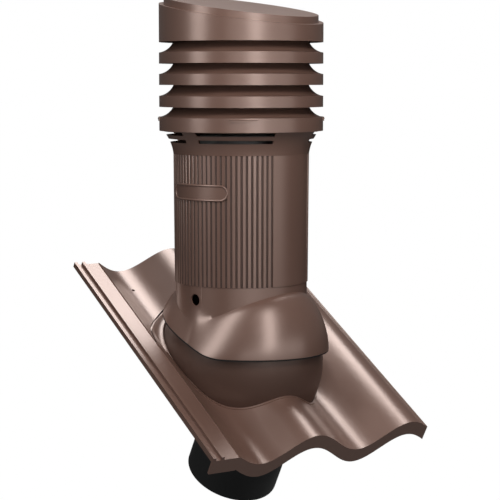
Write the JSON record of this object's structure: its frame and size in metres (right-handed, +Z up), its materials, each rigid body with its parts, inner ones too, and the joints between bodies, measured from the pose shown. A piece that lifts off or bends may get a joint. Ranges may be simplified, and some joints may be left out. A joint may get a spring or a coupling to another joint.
{
  "type": "roof tile vent",
  "caption": "Interlocking wave roof tile with a ball dome, tilting hood and a fluted vent pipe under a louvred head with a slanted cap.",
  "frame": {"origin": "centre of the ball dome, where the chimney tilts", "axes": "+Z up along the chimney, -Y to the eave, +Y to the ridge, X across the tile"},
  "size_m": [0.3348, 0.3841, 0.6778],
  "materials": {
    "brown_plastic": "satin chocolate brown moulded plastic",
    "dark_plastic": "dark brown moulded plastic",
    "black_plastic": "satin black moulded plastic",
    "grey_plastic": "plain grey duct plastic",
    "foam": "light foam",
    "black_rubber": "black rubber",
    "steel": "plain steel"
  },
  "bodies": {
    "base": {"tile_plate": "brown_plastic", "dome_gasket": "black_rubber", "ball_dome": "brown_plastic", "duct_carrier": "black_plastic", "flange_screws": "steel", "lower_duct": "black_plastic", "socket_ring": "black_plastic", "ball_seal": "black_rubber"},
    "chimney": {"inner_duct": "grey_plastic", "hood_shell": "brown_plastic", "outer_pipe": "brown_plastic", "insulation_sleeve": "foam", "sleeve_cover": "grey_plastic", "slotted_collar": "brown_plastic", "louvre_ring_1": "brown_plastic", "louvre_ring_2": "brown_plastic", "louvre_ring_3": "brown_plastic", "louvre_ring_4": "brown_plastic", "louvre_post_1": "dark_plastic", "louvre_post_2": "dark_plastic", "louvre_post_3": "dark_plastic", "louvre_post_4": "dark_plastic", "cap_drum": "brown_plastic", "cap_lid": "brown_plastic"}
  },
  "joints": [
    {"name": "tilt", "type": "hinge", "parent": "base", "child": "chimney", "pos_m": [0, 0, 0], "axis": [0.9703, 0.2419, 0], "range_deg": [-5, 8]}
  ]
}
